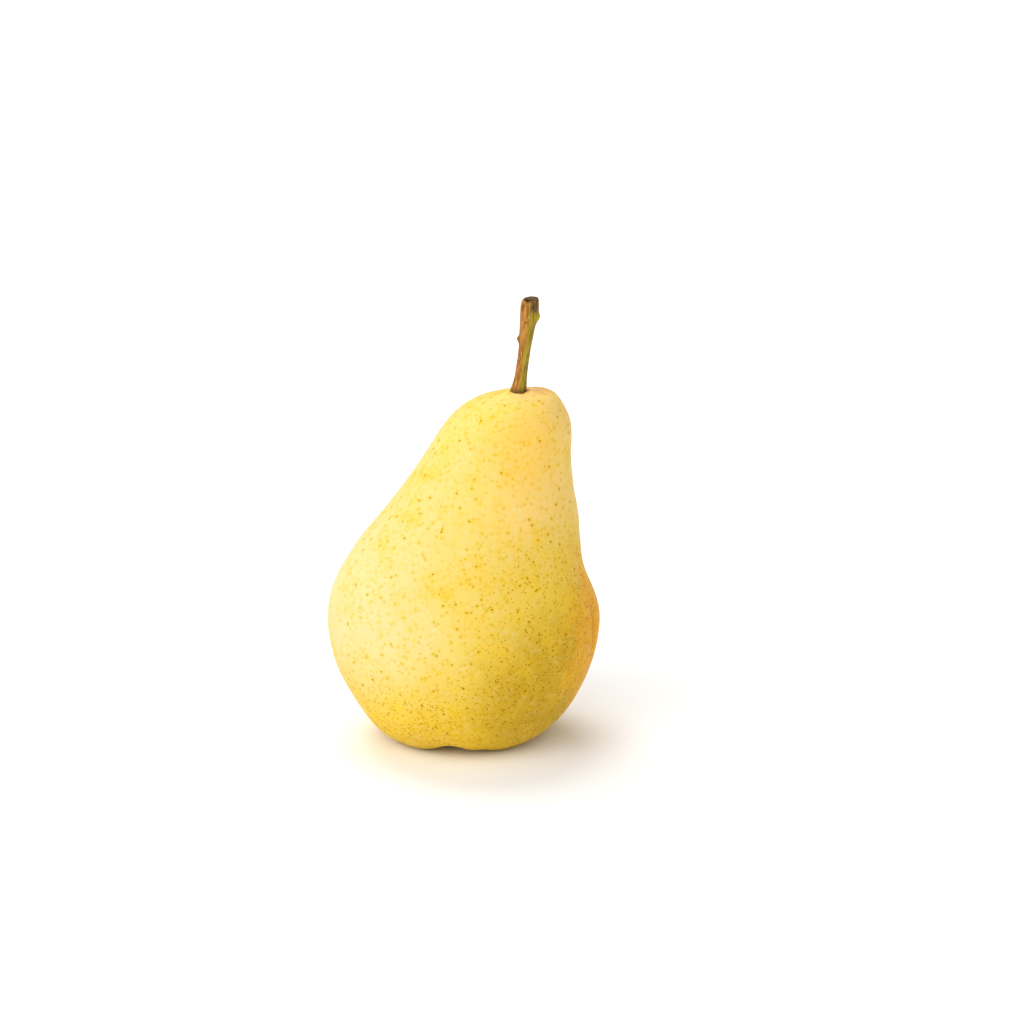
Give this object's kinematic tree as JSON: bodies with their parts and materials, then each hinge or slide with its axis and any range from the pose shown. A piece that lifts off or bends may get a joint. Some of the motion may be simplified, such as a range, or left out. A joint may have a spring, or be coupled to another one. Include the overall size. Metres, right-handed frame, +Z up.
{
  "type": "pear",
  "caption": "Ripe yellow pear with a leaning neck and a short woody stem, standing upright on the lobes round its dried calyx.",
  "frame": {"origin": "on the surface the pear rests on, under the middle of its outline seen from above, close to the middle of the calyx", "axes": "+Z up, from the calyx to the stem; +X towards the side that the neck leans to; -Y towards the side shown in front"},
  "size_m": [0.0706, 0.0684, 0.1164],
  "materials": {
    "skin": "satin waxy skin, pale yellow to gold, with fine brown and green lenticels",
    "stem_bark": "matt ridged bark, ochre brown with an olive side",
    "dried_sepal": "matt, dried, near black with grey edges",
    "dried_thread": "matt, dried, dark brown"
  },
  "bodies": {
    "root": {"fruit": "skin", "stem": "stem_bark", "sepal_1": "dried_sepal", "sepal_2": "dried_sepal", "sepal_3": "dried_sepal", "sepal_4": "dried_sepal", "sepal_5": "dried_sepal", "stamen_1": "dried_thread", "stamen_2": "dried_thread", "stamen_3": "dried_thread", "stamen_4": "dried_thread", "stamen_5": "dried_thread", "stamen_6": "dried_thread", "stamen_7": "dried_thread", "stamen_8": "dried_thread", "stamen_9": "dried_thread", "stamen_10": "dried_thread", "stamen_11": "dried_thread", "stamen_12": "dried_thread", "stamen_13": "dried_thread", "stamen_14": "dried_thread", "stamen_15": "dried_thread", "stamen_16": "dried_thread", "stamen_17": "dried_thread", "stamen_18": "dried_thread", "stamen_19": "dried_thread", "stamen_20": "dried_thread", "style_1": "dried_thread", "style_2": "dried_thread", "style_3": "dried_thread", "style_4": "dried_thread", "style_5": "dried_thread"}
  },
  "joints": []
}
